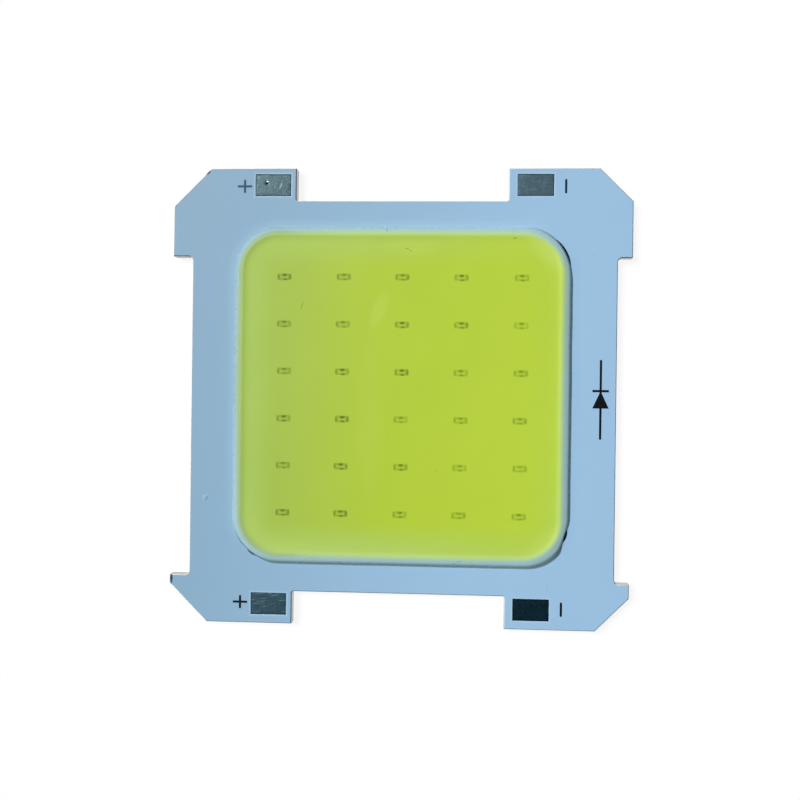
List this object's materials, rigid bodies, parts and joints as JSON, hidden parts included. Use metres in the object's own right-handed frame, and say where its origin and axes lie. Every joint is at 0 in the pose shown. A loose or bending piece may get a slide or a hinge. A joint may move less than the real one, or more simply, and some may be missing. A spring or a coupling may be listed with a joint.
{
  "type": "cob led",
  "caption": "Square chip-on-board LED: white aluminium board with ears, silicone dam, yellow-green phosphor field and solder pads with plus and minus signs.",
  "frame": {"origin": "centre of the board's flat back face", "axes": "+X towards the minus pads, +Y towards the long ears, +Z out of the face that gives light"},
  "size_m": [0.0402, 0.04, 0.0019],
  "materials": {
    "aluminium_plate": "rolled, bare",
    "dielectric": "matt epoxy",
    "white_mask": "satin white print",
    "white_silicone": "glossy silicone",
    "phosphor_silicone": "smooth silicone",
    "chip": "polished crystal",
    "solder": "reflowed",
    "copper": "rolled foil",
    "tin": "dull tin",
    "ink": "printed ink"
  },
  "bodies": {
    "root": {"base_plate": "aluminium_plate", "dielectric_layer": "dielectric", "solder_mask": "white_mask", "dam_ring": "white_silicone", "phosphor_fill": "phosphor_silicone", "led_chip_r1_c1": "chip", "led_chip_r1_c2": "chip", "led_chip_r1_c3": "chip", "led_chip_r1_c4": "chip", "led_chip_r1_c5": "chip", "led_chip_r2_c1": "chip", "led_chip_r2_c2": "chip", "led_chip_r2_c3": "chip", "led_chip_r2_c4": "chip", "led_chip_r2_c5": "chip", "led_chip_r3_c1": "chip", "led_chip_r3_c2": "chip", "led_chip_r3_c3": "chip", "led_chip_r3_c4": "chip", "led_chip_r3_c5": "chip", "led_chip_r4_c1": "chip", "led_chip_r4_c2": "chip", "led_chip_r4_c3": "chip", "led_chip_r4_c4": "chip", "led_chip_r4_c5": "chip", "led_chip_r5_c1": "chip", "led_chip_r5_c2": "chip", "led_chip_r5_c3": "chip", "led_chip_r5_c4": "chip", "led_chip_r5_c5": "chip", "led_chip_r6_c1": "chip", "led_chip_r6_c2": "chip", "led_chip_r6_c3": "chip", "led_chip_r6_c4": "chip", "led_chip_r6_c5": "chip", "chip_solder_row_1": "solder", "chip_solder_row_2": "solder", "chip_solder_row_3": "solder", "chip_solder_row_4": "solder", "chip_solder_row_5": "solder", "chip_solder_row_6": "solder", "copper_land_plus": "copper", "copper_land_1": "copper", "copper_land_2": "copper", "copper_land_3": "copper", "copper_land_4": "copper", "copper_land_minus": "copper", "solder_pad_plus_top": "tin", "solder_pad_plus_bottom": "tin", "solder_pad_minus_top": "tin", "solder_pad_minus_bottom": "tin", "plus_sign_top": "ink", "plus_sign_bottom": "ink", "minus_sign_top": "ink", "minus_sign_bottom": "ink", "diode_symbol": "ink"}
  },
  "joints": []
}
